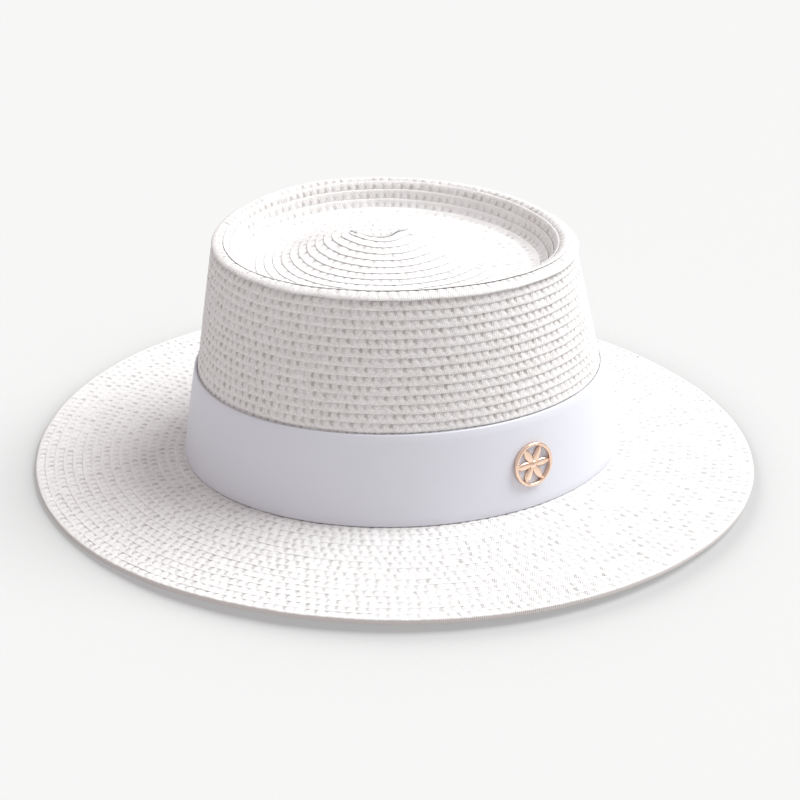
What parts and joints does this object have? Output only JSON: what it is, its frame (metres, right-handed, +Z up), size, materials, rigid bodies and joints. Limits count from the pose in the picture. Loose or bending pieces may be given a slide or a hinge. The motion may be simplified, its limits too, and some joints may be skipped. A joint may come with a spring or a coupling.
{
  "type": "straw hat",
  "caption": "Wide-brimmed white straw hat with a flat-topped, dented crown, a smooth band round its foot and a pierced round badge.",
  "frame": {"origin": "on the surface that the hat rests on, under the middle of the brim", "axes": "+Z up, X along the long axis of the head with the front of the hat at -X, and the badge on the -Y side"},
  "size_m": [0.331, 0.316, 0.1116],
  "materials": {
    "straw": "bleached white straw braid, sewn in overlapping rows, matt with a slight sheen",
    "band": "smooth off-white leather with a satin finish",
    "badge": "polished rose-gold plated metal"
  },
  "bodies": {
    "root": {"crown": "straw", "tip": "straw", "brim": "straw", "band": "band", "badge": "badge"}
  },
  "joints": []
}
